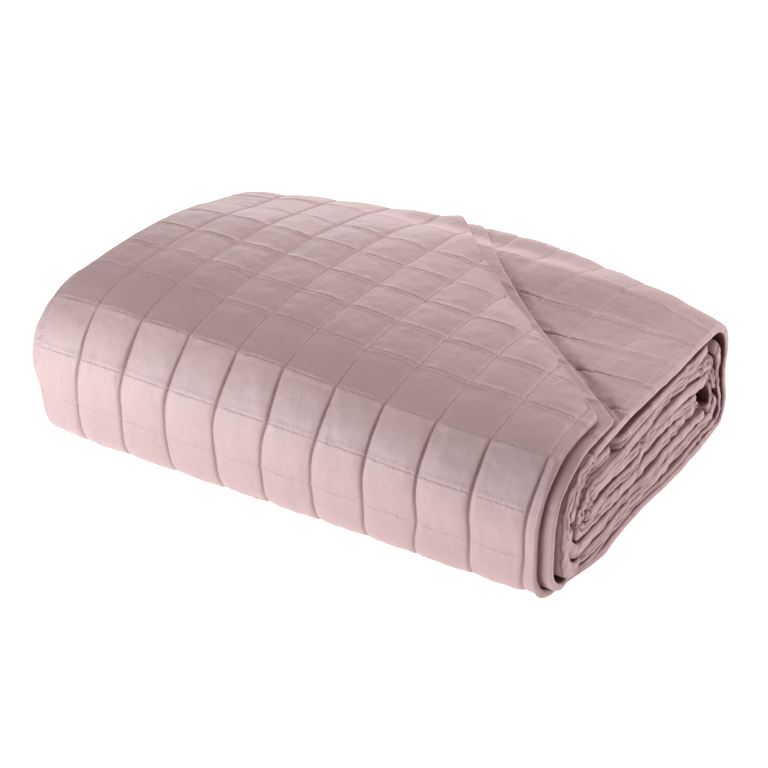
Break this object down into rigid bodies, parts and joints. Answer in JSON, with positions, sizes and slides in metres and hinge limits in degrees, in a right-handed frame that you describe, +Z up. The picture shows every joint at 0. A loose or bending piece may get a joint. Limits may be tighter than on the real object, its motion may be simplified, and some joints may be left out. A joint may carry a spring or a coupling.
{
  "type": "folded quilt",
  "caption": "Sateen bed quilt with stitched squares, folded and wound flat into a soft block, with the loose corner turned under on the slant.",
  "frame": {"origin": "middle of the footprint, on the surface that the quilt lies on", "axes": "+X along the windings towards the end with the hems, -Y towards the rounded front, +Z up"},
  "size_m": [0.7872, 0.5882, 0.2052],
  "materials": {
    "sateen": "dusty pink cotton sateen with a soft sheen, quilted in squares"
  },
  "bodies": {
    "root": {"quilt": "sateen"}
  },
  "joints": []
}
